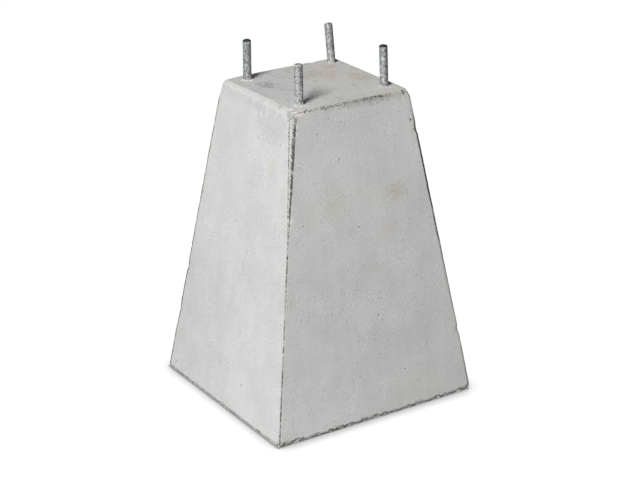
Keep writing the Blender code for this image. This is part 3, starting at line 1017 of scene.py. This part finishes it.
def galvanised_rod(name, rod, top_height, tree, identifiers):
    """One threaded rod, in its place and leaning as the CAD rod does."""
    finish = ROD_FINISH[name]
    length = float(np.linalg.norm(rod["high"] - rod["low"]))
    shown = float(np.linalg.norm(rod["high"] - rod_foot(rod, top_height)))
    thread_start = length - shown - 2 * THREAD_PITCH
    turns = (length - thread_start + rod["radius"]) / THREAD_PITCH
    rows = FOOT_ROWS + round(turns * THREAD_ROWS_PER_TURN)
    piece = grown("galvanised_rod_" + name, bpy.data.meshes.new(name), tree, identifiers, {
        "Radius": float(rod["radius"]) + ZINC_BUILD_UP, "Pitch": THREAD_PITCH,
        "Thread Depth": THREAD_DEPTH, "Length": length - finish["dome"] - finish["cut"],
        "Thread Start": thread_start, "Tip Chamfer": TIP_CHAMFER,
        "Dome": finish["dome"], "Dull": finish["dull"], "Dark Rim": finish["dark_rim"],
        "Clogging": finish["clogging"], "Seed": float(finish["seed"]), "Around": ROD_AROUND + 1,
        "Rows": rows + 1})
    lean = Vector((0, 0, 1)).rotation_difference(Vector(rod["direction"])).to_matrix().to_4x4()
    piece.data.transform(Matrix.Translation(Vector(rod["low"])) @ lean)
    return piece


def ride_and_name(piece, slot, *nodes):
    """Make a piece move with the root body and hide the CAD solids that it stands for. The slot,
    what the piece is made of, is not used.
    """
    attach(piece, "root")
    if nodes:
        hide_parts(*nodes)


def add_rods(top_height):
    thread, thread_inputs = thread_tree(zinc_finish())
    splash, splash_inputs = splash_tree(splash_finish())
    for name in ROD_NAMES:
        rod = rod_axis(name)
        piece = galvanised_rod(name, rod, top_height, thread, thread_inputs)
        drops = grown("cement_splashes_" + name, piece.data.copy(), splash, splash_inputs, {
            "Count": ROD_FINISH[name]["splashes"], "Blob Radius": SPLASH_RADIUS, "Low": top_height,
            "High": float(rod["high"][2]), "Seed": ROD_FINISH[name]["seed"]})
        ride_and_name(piece, "galvanised_steel", "threaded_rod_" + name)
        ride_and_name(drops, "concrete")


def add_camera():
    """The photograph's camera."""
    azimuth, elevation = CAMERA_AZIMUTH, CAMERA_ELEVATION
    back = Vector((math.sin(azimuth) * math.cos(elevation),
                   -math.cos(azimuth) * math.cos(elevation), math.sin(elevation)))
    right = Vector((math.cos(azimuth), math.sin(azimuth), 0))
    up = back.cross(right)
    rolled_right = right * math.cos(CAMERA_ROLL) + up * math.sin(CAMERA_ROLL)
    rolled_up = up * math.cos(CAMERA_ROLL) - right * math.sin(CAMERA_ROLL)
    camera = placed("camera", bpy.data.cameras.new("camera"))
    camera.data.sensor_width = SENSOR_WIDTH_MM
    camera.data.lens = FOCAL_LENGTH_PX / PHOTO_WIDTH_PX * SENSOR_WIDTH_MM
    turn = Matrix((rolled_right, rolled_up, back)).transposed().to_4x4()
    place = back * CAMERA_DISTANCE + right * CAMERA_SIDESTEP + Vector((0, 0, CAMERA_AIM_HEIGHT))
    camera.matrix_world = Matrix.Translation(place) @ turn
    bpy.context.scene.camera = camera


def add_softbox(name, placing, lit):
    """A soft light that looks at the block's middle and lights only the pieces given."""
    azimuth, elevation = placing["azimuth"], placing["elevation"]
    direction = Vector((math.cos(azimuth) * math.cos(elevation),
                        math.sin(azimuth) * math.cos(elevation), math.sin(elevation)))
    light = placed(name, bpy.data.lights.new(name, "AREA"))
    light.data.shape = "RECTANGLE"
    light.data.size, light.data.size_y = placing["size"]
    light.data.energy = placing["power"]
    light.location = direction * placing["distance"] + Vector((0, 0, (CAD_LOW.z + CAD_HIGH.z) / 2))
    light.rotation_euler = direction.to_track_quat("Z", "Y").to_euler()
    light.light_linking.receiver_collection = gathered(name + "_lit", lit)


def add_sky():
    """A plain studio surround, brighter overhead than at the horizon."""
    world = bpy.data.worlds.new("studio")
    world.use_nodes = True
    bpy.context.scene.world = world
    nodes = Nodes(world.node_tree)
    world.node_tree.nodes.clear()
    upward = nodes.parts(nodes.add("ShaderNodeTexCoord", output=0))[2]
    strength = upward.ramp(0.0, 0.9, SKY_AT_HORIZON, SKY_OVERHEAD)
    glow = nodes.add("ShaderNodeBackground", None, {"Color": (1, 1, 1, 1), "Strength": strength})
    nodes.add("ShaderNodeOutputWorld", None, {"Surface": glow})


def floor_finish():
    """A white lit floor with a painted contact shadow, darker where the block stands close to it,
    and a painted shade strip along the left wall's foot.
    """
    finish = Finish("white_floor")
    near = finish.add("ShaderNodeAmbientOcclusion", {"samples": 16},
                      {"Distance": CONTACT_SHADOW_REACH}, output=1)
    covered = ((1.0 - near) * 2.0).least(1.0)
    open_floor = 1.0 - covered.maths("POWER", CONTACT_FALL) * CONTACT_SHADOW
    # Painted shade strip along the left wall's foot
    open_floor = open_floor * (1.0 - finish.line_mask(*FOOT_SHADE_STRIP) * FOOT_SHADE_DARK)
    speck = 0.985 + finish.lumps(40.0) * 0.03
    colour = finish.scaled(FLOOR_WHITE, open_floor * speck)
    shader = finish.add("ShaderNodeBsdfPrincipled", None, {
        "Base Color": colour, "Roughness": 0.9, "Specular IOR Level": 0.0,
        "Emission Color": finish.scaled((1.0, 1.0, 1.0), open_floor),
        "Emission Strength": FLOOR_GLOW})
    finish.add("ShaderNodeOutputMaterial", None, {"Surface": shader})
    return finish.material


def add_floor():
    bpy.ops.mesh.primitive_plane_add(size=2 * FLOOR_HALF_WIDTH)
    floor = bpy.context.active_object
    floor.name = "floor"
    floor.data.materials.append(floor_finish())
    floor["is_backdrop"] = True
    return floor


def gathered(name, pieces):
    group = bpy.data.collections.new(name)
    for piece in pieces:
        group.objects.link(piece)
    return group


def light_the_block(block, floor):
    """The key light reaches the block's own pieces only, so it throws no shadow on the floor. The
    two fills stand for the floor's light on the casting, and the one behind reaches only the walls
    that face away from the camera. The rods go without them, and the floor's glow lights nothing
    but the floor."""
    add_softbox("key", KEY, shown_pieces())
    add_softbox("fill", FILL, [block])
    add_softbox("back_fill", BACK_FILL, [block])
    floor.light_linking.receiver_collection = gathered("floor_alone", [floor])


add_camera()
block = cast_block()
block.data.materials.append(concrete_finish())
ride_and_name(block, "concrete", "concrete_block")
add_rods(wall_planes()["top"][1])
add_sky()
light_the_block(block, add_floor())
bpy.context.scene.view_settings.view_transform = "Standard"
